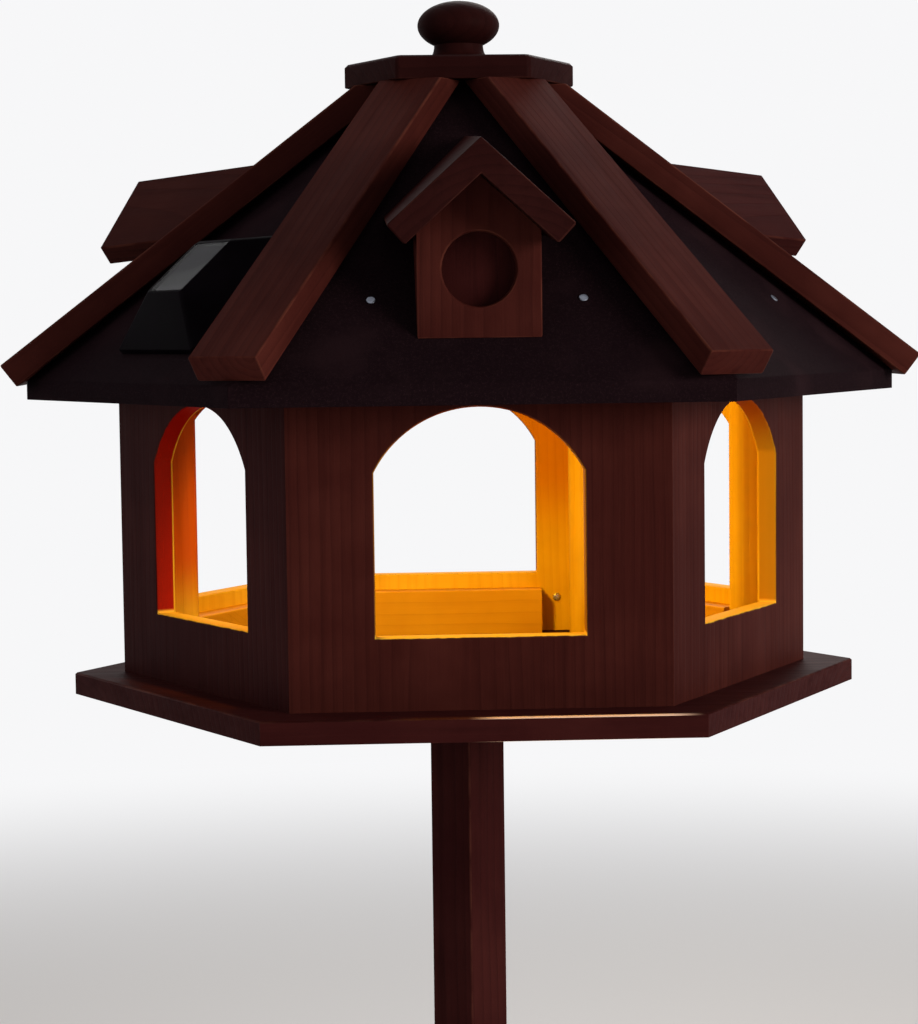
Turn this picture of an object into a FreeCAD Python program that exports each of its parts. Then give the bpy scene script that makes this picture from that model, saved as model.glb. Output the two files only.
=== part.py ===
import FreeCAD, Part
import math
import os

# A six-sided bird table: a house with arched windows on a post, and a solar lamp in its roof.
# Sizes are millimetres and degrees. Z is up, the ground is zero and the front faces -Y.
# Pieces of a side are drawn looking out along +X and are then turned to their side.

# House
floor_height = 1000.0
floor_thickness = 19.0
floor_margin = 43.3
wall_length = 300.0
wall_height = 298.5
wall_thickness = 18.0
window_width = 164.0
window_sill = 57.5
window_springing = 186.0
window_rise = 50.0
corner_post_width = 25.0
corner_post_depth = 45.0
corner_post_height = 285.0
nose_flat_count = 6
cleat_length = 170.0
cleat_thickness = 20.0
cleat_height = 43.0

# Roof
roof_pitch = 41.5
roof_overhang = 68.7
roof_board_thickness = 12.0
felt_thickness = 2.0
batten_width = 60.0
batten_thickness = 23.0
batten_bedding = 1.2
side_batten_projection = 18.7
other_batten_projection = 8.0
felt_end_radius = 47.5
cap_thickness = 20.0
cap_half_length = 100.5
cap_half_width = 80.0
cap_front_half = 55.5

# Finial
finial_height = 54.0
finial_ball_radius = 35.5
finial_ball_height = 40.0
finial_neck_radius = 21.0
finial_foot_radius = 29.0
finial_bead = 4.0
finial_crown_radius = 3.0
ball_flat_count = 9
cove_flat_count = 3
spigot_radius = 9.0
spigot_length = 19.0

# Dormers
dormer_setback = 36.5
gable_width = 95.0
gable_height = 125.0
gable_thickness = 18.0
gable_hole_radius = 28.5
gable_hole_height = 52.6
cheek_thickness = 12.0
backing_thickness = 9.0
dormer_slope = 42.2
dormer_ridge_rise = 4.5
dormer_board_thickness = 20.0
dormer_board_width = 95.5
dormer_overhang = 44.0

# Stand
post_width = 47.0
foot_length = 640.0
foot_width = 47.0
foot_depth = 70.0
foot_pad = 90.0
foot_relief = 8.0
foot_end_bevel = 30.0
brace_rise = 230.0
brace_depth = 47.0
brace_width = 38.0

# Solar lamp on the front left side of the roof
lamp_from_eave = 102.8
lamp_from_middle = 19.0
lamp_size = 138.0
lamp_rim = 5.0
lamp_height = 33.0
lamp_top_size = 64.0
lamp_wall = 2.5
lamp_corner_cut = 4.0
lamp_fit = 0.5
lamp_base_thickness = 3.0
glass_size = 57.0
glass_thickness = 2.5
cell_margin = 2.0
cell_thickness = 1.0
neck_offset = 47.0
neck_radius = 15.0
neck_bore_radius = 12.0
battery_radius = 7.25
battery_length = 50.0
battery_offset = 22.0
cradle_height = 5.0
cup_radius = 33.0
cup_depth = 20.0
cup_flange = 3.0
cup_ledge = 3.0
circuit_thickness = 1.6
lens_thickness = 2.0
lens_dome_radius = 13.0
lens_dome_rise = 8.0
dome_flat_count = 5
led_radius = 4.0
button_radius = 4.5
button_offset = 21.5
button_travel = 2.5
button_proud = 3.0
button_flange = 1.0
switch_size = 11.0
switch_height = 5.4
stem_radius = 2.0

# Fixings
screw_head_radius = 4.2
screw_radius = 2.2
screw_length = 52.0
brace_screw_inset = 30.0
nail_head_radius = 3.8
nail_head_height = 1.1
nail_radius = 1.3
nail_length = 20.0
nail_from_middle = 82.0
nail_from_wall_face = 11.0
nail_crown_radius = 2.7
bracket_leg = 38.0
bracket_width = 20.0
bracket_thickness = 2.0
bracket_corner = 4.0
bracket_hole_place = 26.0
short_screw_head_radius = 3.8
short_screw_rim = 0.8
short_screw_crown = 2.3
short_screw_radius = 1.9
short_screw_length = 14.0
wall_screw_from_middle = 100.8
wall_screw_height = 33.0

# Soft edges, clearances, the flat sides of round things and how near counts as touching
wood_arris = 1.5
running_gap = 0.3
pin_side_count = 6
round_side_count = 32
pin_point = 0.3
near = 0.001
parallel = 1e-6

sides = 6
corner_angle = 180.0 / sides
face_azimuth = {"front": -90, "front_right": -30, "back_right": 30,
                "back": 90, "back_left": 150, "front_left": 210}
hip_azimuth = {"right": 0, "back_right": 60, "back_left": 120,
               "left": 180, "front_left": 240, "front_right": 300}
dormer_sides = ("front", "back_right", "back_left")
post_azimuth = {"front_right": -45, "back_right": 45, "back_left": 135, "front_left": 225}
lamp_side = "front_left"

floor_corner_radius = wall_length + floor_margin
corner_tangent = math.tan(math.radians(corner_angle))
corner_cosine = math.cos(math.radians(corner_angle))
pitch = math.radians(roof_pitch)
floor_underside = floor_height - floor_thickness
wall_outside = wall_length / 2 / corner_tangent
wall_inside = wall_outside - wall_thickness
eave_radius = wall_outside + roof_overhang
roof_layers = roof_board_thickness + felt_thickness
reach = 2 * eave_radius
Vector = FreeCAD.Vector


def board_underside(x):
    """Height of the roof boards' underside at a distance x from the axis."""
    return floor_height + wall_height + (wall_outside - x) * math.tan(pitch)


def board_top(x):
    return board_underside(x) + roof_board_thickness / math.cos(pitch)


def felt_top(x):
    return board_top(x) + felt_thickness / math.cos(pitch)


def where_reaches(height_at, z):
    """Distance from the axis at which a roof surface comes up to the height z."""
    return (height_at(0) - z) / math.tan(pitch)


cap_underside = felt_top(felt_end_radius)
cap_top = cap_underside + cap_thickness


def prism_xz(points, half_width):
    """A solid from an outline in X and Z, as wide to each side of the middle."""
    corners = [Vector(x, -half_width, z) for x, z in points]
    face = Part.Face(Part.makePolygon(corners + corners[:1]))
    return face.extrude(Vector(0, 2 * half_width, 0))


def prism_xy(points, bottom, height):
    """A solid that stands on a plan in X and Y."""
    corners = [Vector(x, y, bottom) for x, y in points]
    face = Part.Face(Part.makePolygon(corners + corners[:1]))
    return face.extrude(Vector(0, 0, height))


def block(x_from, x_to, y_from, y_to, z_from, z_to):
    size = Vector(x_to - x_from, y_to - y_from, z_to - z_from)
    return Part.makeBox(size.x, size.y, size.z, Vector(x_from, y_from, z_from))


def turned(shape, azimuth):
    """A copy of a shape, turned about the table's axis."""
    copy = shape.copy()
    copy.rotate(Vector(0, 0, 0), Vector(0, 0, 1), azimuth)
    return copy


def equal_steps(start_angle, end_angle, steps):
    """Angles from one to another, for a curve drawn in short flats."""
    turn = (end_angle - start_angle) / steps
    return [start_angle + turn * step for step in range(steps + 1)]


def stacked(rings):
    """A solid with flat faces through level rings of as many points each."""
    outlines = [rings[0], rings[-1]]
    for lower, upper in zip(rings, rings[1:]):
        for step in range(len(lower)):
            outlines.append([lower[step - 1], lower[step], upper[step], upper[step - 1]])
    faces = [Part.Face(Part.makePolygon(outline + outline[:1])) for outline in outlines]
    return Part.makeSolid(Part.makeShell(faces))


def level_ring(radius, z, side_count, x=0, y=0):
    """Points round an upright line at a height, as the corners of a bar with flat sides."""
    points = []
    for angle in equal_steps(0, 2 * math.pi, side_count)[1:]:
        points.append(Vector(x + radius * math.cos(angle), y + radius * math.sin(angle), z))
    return points


def faceted_pin(profile):
    """A pin with few sides from its radii and heights, from its top to its point."""
    return stacked([level_ring(radius, z, pin_side_count) for radius, z in profile])


def round_piece(profile, x=0, y=0):
    """A round piece in narrow flats from its radii and heights, along an upright line."""
    return stacked([level_ring(radius, z, round_side_count, x, y) for radius, z in profile])


def drum(radius, z_from, z_to, x=0, y=0):
    """An upright round bar between two heights."""
    return round_piece([(radius, z_from), (radius, z_to)], x, y)


def bevelled(shape, chosen, width):
    """Takes the sharp corner off the edges for which the test says yes."""
    edges = [edge for edge in shape.Edges if chosen(edge)]
    return shape.makeChamfer(width, edges)


def is_along(edge, direction):
    """Whether a straight edge runs along a direction."""
    if edge.Curve.TypeId != "Part::GeomLine":
        return False
    return abs(abs(edge.Curve.Direction.dot(direction)) - 1) < parallel


def side_wedge():
    """The sixth of space that belongs to one side, bounded by the mitre planes."""
    half = reach * corner_tangent
    return prism_xy([(0, 0), (reach, half), (reach, -half)], 0, cap_top)


def hexagon(corner_radius, bottom, height):
    points = []
    for step in range(sides):
        angle = math.radians(step * 2 * corner_angle)
        points.append((corner_radius * math.cos(angle), corner_radius * math.sin(angle)))
    return prism_xy(points, bottom, height)


def on_line(z):
    """Makes a test for edges that lie level at a height."""
    def test(edge):
        box = edge.BoundBox
        return abs(box.ZMin - z) < near and abs(box.ZMax - z) < near
    return test


# Feeding floor
def make_floor():
    board = hexagon(floor_corner_radius, floor_underside, floor_thickness)
    board = bevelled(board, on_line(floor_height), wood_arris)
    return board.cut(Part.makeCompound(floor_screws() + bracket_screws_up()))


# Walls with arched windows
def window_wire(x, margin):
    """The arched outline at a distance from the axis, wider all round by the margin."""
    arch_radius = ((window_width / 2) ** 2 + window_rise ** 2) / (2 * window_rise)
    springing = floor_height + window_springing
    centre = springing + window_rise - arch_radius
    half = window_width / 2 + margin
    radius = arch_radius + margin
    shoulder = centre + math.copysign(math.sqrt(radius ** 2 - half ** 2), springing - centre)
    sill = floor_height + window_sill - margin
    foot_left = Vector(x, -half, sill)
    foot_right = Vector(x, half, sill)
    spring_left = Vector(x, -half, shoulder)
    spring_right = Vector(x, half, shoulder)
    arch = Part.Arc(spring_right, Vector(x, 0, centre + radius), spring_left).toShape()
    return Part.Wire([Part.makeLine(foot_left, foot_right),
                      Part.makeLine(foot_right, spring_right),
                      arch, Part.makeLine(spring_left, foot_left)])


def window_cutter():
    """The opening of a window, with a small bevel at both faces of the wall."""
    start = wall_inside - wall_thickness
    opening = Part.Face(window_wire(start, 0)).extrude(Vector(3 * wall_thickness, 0, 0))
    cutters = [opening]
    for face, depth in ((wall_inside, wood_arris), (wall_outside, -wood_arris)):
        wires = [window_wire(face, wood_arris), window_wire(face + depth, 0)]
        cutters.append(Part.makeLoft(wires, True, True))
    return Part.makeCompound(cutters)


def make_wall():
    outline = [(wall_inside, floor_height), (wall_outside, floor_height),
               (wall_outside, board_underside(wall_outside)),
               (wall_inside, board_underside(wall_inside))]
    panel = prism_xz(outline, wall_length).common(side_wedge())
    return panel.cut(window_cutter())


# Corner posts with a round nose, glued into the inner corners of the house
inner_corner = wall_inside / corner_cosine


def make_corner_post():
    half = corner_post_width / 2
    shoulder = inner_corner - half * corner_tangent
    nose = inner_corner - corner_post_depth + half
    plan = [(shoulder, -half), (inner_corner, 0), (shoulder, half)]
    for angle in equal_steps(math.pi / 2, 3 * math.pi / 2, nose_flat_count):
        plan.append((nose + half * math.cos(angle), half * math.sin(angle)))
    return prism_xy(plan, floor_height, corner_post_height).cut(post_screw())


def post_screw():
    """The screw that comes up through the floor into a corner post."""
    middle = inner_corner - corner_post_depth / 2
    return aimed(wood_screw(), Vector(middle, 0, floor_underside), Vector(0, 0, 1))


# Cleats on the floor at the foot of each wall
def make_cleat():
    half = cleat_length / 2
    face = wall_inside - cleat_thickness
    top = floor_height + cleat_height
    cleat = block(face, wall_inside, -half, half, floor_height, top)

    def is_top_front(edge):
        box = edge.BoundBox
        return box.XMax < face + near and box.ZMin > top - near

    return bevelled(cleat, is_top_front, wood_arris).cut(cleat_screw())


def cleat_screw():
    """The screw that comes up through the floor into a cleat."""
    middle = wall_inside - cleat_thickness / 2
    return aimed(wood_screw(), Vector(middle, 0, floor_underside), Vector(0, 0, 1))


def floor_screws():
    screws = [turned(post_screw(), azimuth) for azimuth in hip_azimuth.values()]
    return screws + [turned(cleat_screw(), azimuth) for azimuth in face_azimuth.values()]


def wall_screws():
    """Two short screws low on the inside of one wall."""
    height = floor_height + wall_screw_height
    places = [Vector(wall_inside, side * wall_screw_from_middle, height) for side in (-1, 1)]
    return [aimed(short_screw(), place, Vector(1, 0, 0)) for place in places]


# Roof boards and felt
def make_roof_board():
    edge = eave_radius - felt_thickness
    outline = [(edge, board_underside(edge)), (edge, board_top(edge)),
               (where_reaches(board_top, cap_underside), cap_underside),
               (where_reaches(board_underside, cap_underside), cap_underside)]
    return prism_xz(outline, reach).common(side_wedge())


def make_roof_felt():
    edge = eave_radius - felt_thickness
    outline = [(edge, board_underside(edge)), (eave_radius, board_underside(edge)),
               (eave_radius, felt_top(eave_radius)), (felt_end_radius, cap_underside),
               (where_reaches(board_top, cap_underside), cap_underside),
               (edge, board_top(edge))]
    felt = prism_xz(outline, reach).common(side_wedge())
    for angle in (-corner_angle, corner_angle):
        felt = felt.cut(turned(make_batten(side_batten_projection), angle))
    return felt


# Hip battens
def make_batten(projection):
    """A flat batten on the hip; its lower end is square and its top end is level."""
    hip_slope = math.atan(math.tan(pitch) * corner_cosine)
    eave_corner = eave_radius / corner_cosine
    low_reach = eave_corner + projection

    def underside(radius):
        return felt_top(radius * corner_cosine) - batten_bedding / math.cos(hip_slope)

    def top(radius):
        return underside(radius) + batten_thickness / math.cos(hip_slope)

    end_back = low_reach - batten_thickness * math.sin(hip_slope)
    top_end = low_reach - (cap_underside - top(low_reach)) / math.tan(hip_slope)
    low_end = low_reach - (cap_underside - underside(low_reach)) / math.tan(hip_slope)
    outline = [(end_back, top(low_reach) - batten_thickness * math.cos(hip_slope)),
               (low_reach, top(low_reach)), (top_end, cap_underside), (low_end, cap_underside)]
    solid = prism_xz(outline, batten_width / 2)
    along = Vector(math.cos(hip_slope), 0, -math.sin(hip_slope))
    return bevelled(solid, lambda edge: is_along(edge, along), wood_arris)


# Cap plate
def make_cap():
    plan = [(cap_half_length, 0), (cap_front_half, cap_half_width),
            (-cap_front_half, cap_half_width), (-cap_half_length, 0),
            (-cap_front_half, -cap_half_width), (cap_front_half, -cap_half_width)]
    plate = prism_xy(plan, cap_underside, cap_thickness)
    plate = bevelled(plate, lambda edge: is_along(edge, Vector(0, 0, 1)), 2 * wood_arris)
    plate = bevelled(plate, on_line(cap_top), 2 * wood_arris)
    return plate.cut(drum(spigot_radius, cap_underside, cap_top))


# Turned finial
def make_finial():
    """A flattened ball on a cove and a bead, with a spigot down through the cap plate."""
    half_height = finial_ball_height / 2
    equator = finial_height - half_height
    neck_angle = -math.acos(finial_neck_radius / finial_ball_radius)
    neck_height = equator + half_height * math.sin(neck_angle)
    foot_reach = finial_foot_radius - finial_neck_radius
    profile = [(spigot_radius, -spigot_length), (spigot_radius, 0), (finial_foot_radius, 0)]
    for angle in equal_steps(0, math.pi / 2, cove_flat_count):
        profile.append((finial_foot_radius - foot_reach * math.sin(angle),
                        neck_height - (neck_height - finial_bead) * math.cos(angle)))
    for angle in equal_steps(neck_angle, math.pi / 2, ball_flat_count)[1:-1]:
        profile.append((finial_ball_radius * math.cos(angle),
                        equator + half_height * math.sin(angle)))
    profile.append((finial_crown_radius, finial_height))
    finial = round_piece(profile)
    finial.translate(Vector(0, 0, cap_top))
    return finial


# Dormers
gable_front = eave_radius - dormer_setback
gable_foot = felt_top(gable_front)
dormer_apex = gable_foot + gable_height
dormer_pitch = math.radians(dormer_slope)


def tilted_dormer(points, front, depth):
    """A bar along the dormer's ridge from an outline in Y and height above the apex."""
    corners = [Vector(front, y, z) for y, z in points]
    face = Part.Face(Part.makePolygon(corners + corners[:1]))
    bar = face.extrude(Vector(-depth, 0, 0))
    bar.translate(Vector(gable_front, 0, dormer_apex))
    bar.rotate(Vector(gable_front, 0, dormer_apex), Vector(0, 1, 0), dormer_ridge_rise)
    return bar


def above_felt():
    """All the space over the felt of one side."""
    inner = felt_end_radius
    outer = eave_radius + dormer_overhang
    outline = [(inner, felt_top(inner)), (outer, felt_top(outer)), (outer, felt_top(inner))]
    return prism_xz(outline, reach)


def under_dormer_roof():
    """The space between the felt and the undersides of the two dormer boards."""
    half = gable_width / 2
    drop = half * math.tan(dormer_pitch)
    outline = [(0, 0), (half, -drop), (half, -reach), (-half, -reach), (-half, -drop)]
    return tilted_dormer(outline, dormer_overhang, reach).common(above_felt())


def gable_hole():
    """The round hole with its eased rim, through the gable from its front."""
    centre = Vector(gable_front, 0, gable_foot + gable_hole_height)
    bore = round_piece([(gable_hole_radius, -gable_thickness), (gable_hole_radius, -wood_arris),
                        (gable_hole_radius + wood_arris, 0)])
    return aimed(bore, centre, Vector(-1, 0, 0))


def make_gable():
    slab = block(gable_front - gable_thickness, gable_front, -gable_width, gable_width,
                 gable_foot - gable_width, dormer_apex + gable_width)
    return under_dormer_roof().common(slab).cut(gable_hole())


def make_backing():
    """The board behind the hole, between the cheeks."""
    half = gable_width / 2 - cheek_thickness
    back = gable_front - gable_thickness
    slab = block(back - backing_thickness, back, -half, half,
                 gable_foot - gable_width, dormer_apex + gable_width)
    return under_dormer_roof().common(slab)


def make_cheeks():
    """Two tapered side boards, flush with the gable."""
    half = gable_width / 2
    back = gable_front - gable_thickness
    low = gable_foot - gable_width
    high = dormer_apex + gable_width
    boards = []
    for side in (-1, 1):
        y_from, y_to = sorted((side * half, side * (half - cheek_thickness)))
        slab = block(felt_end_radius, back, y_from, y_to, low, high)
        boards.append(under_dormer_roof().common(slab))
    return Part.makeCompound(boards)


def make_dormer_board(side):
    """One roof board of a dormer; its back end is scribed to the felt."""
    run = math.cos(dormer_pitch)
    fall = math.sin(dormer_pitch)
    ridge = dormer_board_thickness / run
    outer = (dormer_board_width * run, ridge - dormer_board_width * fall)
    inner = (outer[0] - dormer_board_thickness * fall, outer[1] - dormer_board_thickness * run)
    outline = [(0, 0), (0, ridge), outer, inner]
    if side < 0:
        outline = [(-y, z) for y, z in outline]
    board = tilted_dormer(outline, dormer_overhang, reach)
    low_edge = side * inner[0]

    def is_lower_edge(edge):
        box = edge.BoundBox
        return min(side * box.YMin, side * box.YMax) > side * low_edge - near

    board = bevelled(board, is_lower_edge, wood_arris)
    return board.common(above_felt())


def make_dormer_roof():
    return Part.makeCompound([make_dormer_board(-1), make_dormer_board(1)])


# Stand
def make_post():
    half = post_width / 2
    post = block(-half, half, -half, half, foot_depth, floor_underside)
    post = bevelled(post, lambda edge: is_along(edge, Vector(0, 0, 1)), wood_arris)
    fixings = all_around(brace_screws() + [bracket_screw_across()])
    return turned(post, post_azimuth["back_right"]).cut(Part.makeCompound(fixings))


def make_foot(is_upper):
    """One of two crossing feet, halved into each other at the middle."""
    half_length = foot_length / 2
    half_width = foot_width / 2
    pad_start = half_length - foot_pad
    outline = [(-half_length, 0), (-pad_start, 0), (-pad_start + foot_relief, foot_relief),
               (pad_start - foot_relief, foot_relief), (pad_start, 0), (half_length, 0),
               (half_length, foot_depth - foot_end_bevel),
               (half_length - foot_end_bevel, foot_depth),
               (-half_length + foot_end_bevel, foot_depth),
               (-half_length, foot_depth - foot_end_bevel)]
    foot = prism_xz(outline, half_width)
    foot = bevelled(foot, lambda edge: is_along(edge, Vector(1, 0, 0))
                    and edge.BoundBox.ZMin > foot_depth / 2, wood_arris)
    lap = foot_depth / 2
    if is_upper:
        notch = block(-half_width, half_width, -foot_width, foot_width, 0, lap)
    else:
        notch = block(-half_width, half_width, -foot_width, foot_width, lap, foot_depth)
    foot = foot.cut(notch)
    azimuth = post_azimuth["front_right" if is_upper else "back_right"]
    fixings = all_around(brace_screws())
    return turned(foot, azimuth).cut(Part.makeCompound(fixings))


def make_brace():
    """A brace at 45 degrees between a face of the post and the top of a foot."""
    face = post_width / 2
    shoulder = brace_depth * math.sqrt(2)
    outline = [(face + brace_rise - shoulder, foot_depth), (face + brace_rise, foot_depth),
               (face, foot_depth + brace_rise), (face, foot_depth + brace_rise - shoulder)]
    brace = prism_xz(outline, brace_width / 2)
    along = Vector(1, 0, -1).normalize()
    brace = bevelled(brace, lambda edge: is_along(edge, along), wood_arris)
    return brace.cut(Part.makeCompound(brace_screws()))


# Fixings
def aimed(shape, point, direction):
    """Puts a fixing drawn pointing down -Z at a point, going in along a direction."""
    copy = shape.copy()
    turn = FreeCAD.Rotation(Vector(0, 0, -1), direction)
    copy.Placement = FreeCAD.Placement(point, turn)
    return copy


def all_around(shapes):
    """Copies of the shapes at the four faces of the post."""
    return [turned(shape, azimuth) for azimuth in post_azimuth.values() for shape in shapes]


def wood_screw():
    """A countersunk screw, its head's face at zero."""
    head_depth = screw_head_radius - screw_radius
    point_length = 3 * screw_radius
    return faceted_pin([(screw_head_radius, 0), (screw_radius, -head_depth),
                        (screw_radius, -screw_length + point_length), (pin_point, -screw_length)])


def brace_screws():
    """Two screws square to the outer face of the brace on the +X side."""
    step = brace_screw_inset / math.sqrt(2)
    face = post_width / 2
    inward = Vector(-1, 0, -1)
    low = Vector(face + brace_rise - step, 0, foot_depth + step)
    high = Vector(face + step, 0, foot_depth + brace_rise - step)
    return [aimed(wood_screw(), low, inward), aimed(wood_screw(), high, inward)]


def short_screw():
    """A short screw with a domed head."""
    head = short_screw_head_radius
    point_length = 3 * short_screw_radius
    return faceted_pin([(short_screw_crown, short_screw_crown), (head, short_screw_rim),
                        (head, 0), (short_screw_radius, 0),
                        (short_screw_radius, -short_screw_length + point_length),
                        (pin_point, -short_screw_length)])


def bracket_screw_across():
    place = Vector(post_width / 2 + bracket_thickness, 0, floor_underside - bracket_hole_place)
    return aimed(short_screw(), place, Vector(-1, 0, 0))


def bracket_screw_up():
    place = Vector(post_width / 2 + bracket_hole_place, 0, floor_underside - bracket_thickness)
    return aimed(short_screw(), place, Vector(0, 0, 1))


def bracket_screws_up():
    return all_around([bracket_screw_up()])


def make_bracket():
    """A bent steel angle between the post and the floor."""
    face = post_width / 2
    plate = bracket_thickness
    outline = [(face, floor_underside), (face + bracket_leg, floor_underside),
               (face + bracket_leg, floor_underside - plate),
               (face + plate, floor_underside - plate),
               (face + plate, floor_underside - bracket_leg),
               (face, floor_underside - bracket_leg)]
    angle = prism_xz(outline, bracket_width / 2)

    def is_tip_corner(edge):
        box = edge.BoundBox
        at_end = box.XMin > face + bracket_leg - near
        at_foot = box.ZMax < floor_underside - bracket_leg + near
        short = max(box.XLength, box.ZLength) < plate + near and box.YLength < near
        return short and (at_end or at_foot)

    angle = bevelled(angle, is_tip_corner, bracket_corner)
    return angle.cut(Part.makeCompound([bracket_screw_across(), bracket_screw_up()]))


def roof_nail(from_middle):
    """A clout nail through felt and board into the top of the wall."""
    nail = faceted_pin([(nail_crown_radius, nail_head_height),
                        (nail_head_radius, nail_head_height / 2), (nail_head_radius, 0),
                        (nail_radius, 0), (nail_radius, -nail_length + 2 * nail_radius),
                        (pin_point, -nail_length)])
    x = wall_outside - nail_from_wall_face + roof_layers * math.sin(pitch)
    inward = Vector(-math.sin(pitch), 0, -math.cos(pitch))
    return aimed(nail, Vector(x, from_middle, felt_top(x)), inward)


def side_nails(side):
    """The nails of one side of the roof; the lamp covers the place of one."""
    places = [-nail_from_middle, nail_from_middle]
    if side == lamp_side:
        places = places[:1]
    return [roof_nail(place) for place in places]


# Solar lamp, drawn flat with +Y up the slope and +Z out of the roof
lamp_base_size = lamp_size - 2 * lamp_wall - 2 * lamp_fit
glass_seat = lamp_height - glass_thickness - cell_thickness
circuit_top = -roof_layers - cup_flange - cup_ledge
circuit_underside = circuit_top - circuit_thickness
cup_bottom = -roof_layers - cup_depth
lens_top = cup_bottom + lens_thickness
cup_bore = cup_radius - lamp_wall
button_y = neck_offset + button_offset


def on_roof(shape):
    """Lays a lamp piece on the felt at the lamp's place."""
    along = Vector(0, 1, 0)
    up_slope = Vector(-math.cos(pitch), 0, math.sin(pitch))
    outward = Vector(math.sin(pitch), 0, math.cos(pitch))
    start = Vector(eave_radius, lamp_from_middle, felt_top(eave_radius))
    origin = start + up_slope * lamp_from_eave
    frame = FreeCAD.Matrix(along.x, up_slope.x, outward.x, origin.x,
                           along.y, up_slope.y, outward.y, origin.y,
                           along.z, up_slope.z, outward.z, origin.z,
                           0, 0, 0, 1)
    copy = shape.copy()
    copy.transformShape(frame)
    return turned(copy, face_azimuth[lamp_side])


def cornered_square(size, z):
    """The points of a square with its corners cut off."""
    half = size / 2
    inner = half - lamp_corner_cut
    plan = [(half, -inner), (half, inner), (inner, half), (-inner, half),
            (-half, inner), (-half, -inner), (-inner, -half), (inner, -half)]
    return [Vector(x, y, z) for x, y in plan]


def square_plate(size, z_from, z_to):
    half = size / 2
    return block(-half, half, -half, half, z_from, z_to)


def make_lamp_cover():
    """A moulded cover with sloping flanks and a seat for the glass."""
    rise = lamp_height - lamp_rim
    run = (lamp_size - lamp_top_size) / 2
    flank = math.atan2(rise, run)
    inset = 2 * lamp_wall / math.sin(flank)
    ceiling = glass_seat - lamp_wall
    ceiling_size = lamp_size - 2 * run * (ceiling - lamp_rim) / rise - inset
    inside_size = lamp_size - 2 * lamp_wall
    outside = stacked([cornered_square(lamp_size, 0), cornered_square(lamp_size, lamp_rim),
                       cornered_square(lamp_top_size, lamp_height)])
    inside = stacked([cornered_square(inside_size, 0), cornered_square(inside_size, lamp_rim),
                      cornered_square(ceiling_size, ceiling)])
    cover = outside.cut(inside)
    return cover.cut(square_plate(glass_size, glass_seat, lamp_height))


def make_lamp_base():
    """The plate on the felt, its battery cradle and the hollow neck through the roof."""
    plate = stacked([cornered_square(lamp_base_size, 0),
                     cornered_square(lamp_base_size, lamp_base_thickness)])
    half = battery_length / 2
    cradle = block(-half, half, -battery_offset - battery_radius, -battery_offset + battery_radius,
                   lamp_base_thickness, lamp_base_thickness + cradle_height)
    neck_end = -roof_layers - cup_flange
    neck = drum(neck_radius, neck_end, lamp_base_thickness, 0, neck_offset)
    base = plate.fuse(cradle).fuse(neck)
    base = base.cut(drum(neck_bore_radius, neck_end, lamp_base_thickness, 0, neck_offset))
    return base.cut(make_battery())


def make_battery():
    start = Vector(battery_length / 2, -battery_offset, lamp_base_thickness + battery_radius)
    return aimed(drum(battery_radius, -battery_length, 0), start, Vector(-1, 0, 0))


def make_glass():
    return square_plate(glass_size, lamp_height - glass_thickness, lamp_height)


def make_cell():
    return square_plate(glass_size - 2 * cell_margin, glass_seat, glass_seat + cell_thickness)


def make_cup():
    """The round bezel that screws onto the neck under the roof."""
    top = -roof_layers
    cup = round_piece([(cup_radius - wood_arris, cup_bottom), (cup_radius, cup_bottom + wood_arris),
                       (cup_radius, top)], 0, neck_offset)
    cup = cup.cut(drum(cup_bore, cup_bottom, circuit_top, 0, neck_offset))
    cup = cup.cut(drum(cup_bore - cup_ledge, circuit_top, top - cup_flange, 0, neck_offset))
    return cup.cut(drum(neck_radius, cup_bottom, top, 0, neck_offset))


def make_circuit():
    """The round circuit board with its light and its switch body."""
    board = drum(cup_bore - running_gap, circuit_underside, circuit_top, 0, neck_offset)
    led = round_piece([(led_radius / 2, circuit_underside - led_radius),
                       (led_radius, circuit_underside)], 0, neck_offset)
    half = switch_size / 2
    switch = block(-half, half, button_y - half, button_y + half,
                   circuit_underside - switch_height, circuit_underside)
    bore = drum(stem_radius + running_gap, circuit_underside - switch_height,
                circuit_underside, 0, button_y)
    return board.fuse(led).fuse(switch).cut(bore)


def make_lens():
    """A frosted lens with a dome, a collar up to the circuit board and a hole for the button."""
    outside = cup_bore - running_gap
    inside = outside - lens_thickness
    shell = [(outside, circuit_underside), (outside, cup_bottom)]
    hollow = [(inside, circuit_underside), (inside, lens_top)]
    for angle in equal_steps(0, math.pi / 2, dome_flat_count)[:-1]:
        level = lens_dome_rise * math.sin(angle)
        shell.append((lens_dome_radius * math.cos(angle), cup_bottom - level))
        hollow.append(((lens_dome_radius - lens_thickness) * math.cos(angle), lens_top - level))
    lens = round_piece(shell, 0, neck_offset).cut(round_piece(hollow, 0, neck_offset))
    return lens.cut(drum(button_radius + running_gap, cup_bottom, lens_top, 0, button_y))


def make_button():
    """A push button; a flange behind the lens keeps it in."""
    low = cup_bottom - button_proud
    rim = wood_arris / 2
    flange_low = lens_top + running_gap
    flange_high = flange_low + button_flange
    stem_top = circuit_underside - button_travel - running_gap
    return round_piece([(button_radius - rim, low), (button_radius, low + rim),
                        (button_radius, flange_low), (button_radius + button_flange, flange_low),
                        (button_radius + button_flange, flange_high), (stem_radius, flange_high),
                        (stem_radius, stem_top)], 0, button_y)


def neck_hole():
    """The round hole for the neck through felt and board."""
    return drum(neck_radius + running_gap, -2 * roof_layers, roof_layers, 0, neck_offset)


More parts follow.
